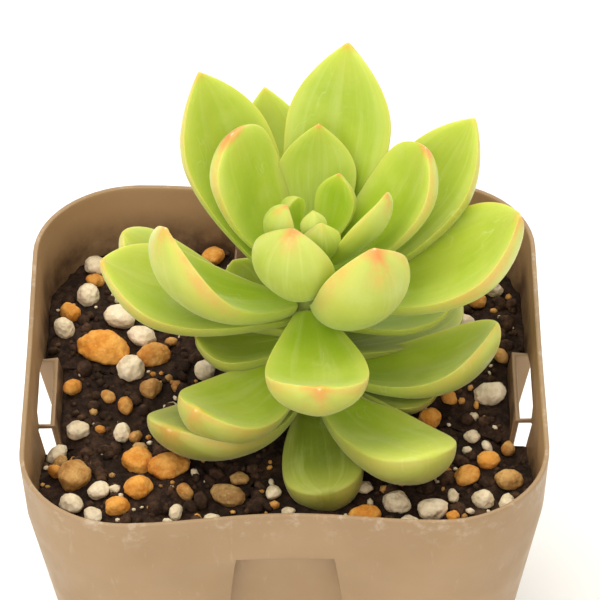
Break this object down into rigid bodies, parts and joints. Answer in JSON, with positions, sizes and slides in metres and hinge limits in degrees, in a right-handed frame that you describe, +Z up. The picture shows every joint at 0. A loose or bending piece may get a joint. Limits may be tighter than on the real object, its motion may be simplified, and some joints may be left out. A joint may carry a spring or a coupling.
{
  "type": "potted succulent",
  "caption": "Rosette of thick, pointed succulent leaves on a short stem, growing in gritty soil in a small square plastic pot with recessed, slotted sides.",
  "frame": {"origin": "centre of the pot's foot, on the surface it stands on", "axes": "+Z up out of the pot, -Y to the front, +X to the right seen from the front"},
  "size_m": [0.07, 0.07, 0.0943],
  "materials": {
    "pot": "satin, thin moulded wall",
    "soil": "rough, crumbly",
    "stem": "fleshy, dull",
    "leaf": "smooth and waxy",
    "clay": "rough fired clay",
    "perlite": "rough, chalky"
  },
  "bodies": {
    "root": {"pot": "pot", "soil": "soil", "stem": "stem", "leaf_01": "leaf", "leaf_02": "leaf", "leaf_03": "leaf", "leaf_04": "leaf", "leaf_05": "leaf", "leaf_06": "leaf", "leaf_07": "leaf", "leaf_08": "leaf", "leaf_09": "leaf", "leaf_10": "leaf", "leaf_11": "leaf", "leaf_12": "leaf", "leaf_13": "leaf", "leaf_14": "leaf", "leaf_15": "leaf", "leaf_16": "leaf", "leaf_17": "leaf", "leaf_18": "leaf", "leaf_19": "leaf", "leaf_20": "leaf", "leaf_21": "leaf", "leaf_22": "leaf", "leaf_23": "leaf", "leaf_24": "leaf", "leaf_25": "leaf", "leaf_26": "leaf", "leaf_27": "leaf", "leaf_28": "leaf", "leaf_29": "leaf", "leaf_30": "leaf", "leaf_31": "leaf", "leaf_32": "leaf", "clay_01": "clay", "clay_02": "clay", "clay_03": "clay", "clay_04": "clay", "clay_05": "clay", "clay_06": "clay", "clay_07": "clay", "clay_08": "clay", "clay_09": "clay", "clay_10": "clay", "clay_11": "clay", "clay_12": "clay", "clay_13": "clay", "perlite_01": "perlite", "perlite_02": "perlite", "perlite_03": "perlite", "perlite_04": "perlite", "perlite_05": "perlite", "perlite_06": "perlite", "perlite_07": "perlite", "perlite_08": "perlite", "perlite_09": "perlite", "perlite_10": "perlite", "perlite_11": "perlite"}
  },
  "joints": []
}
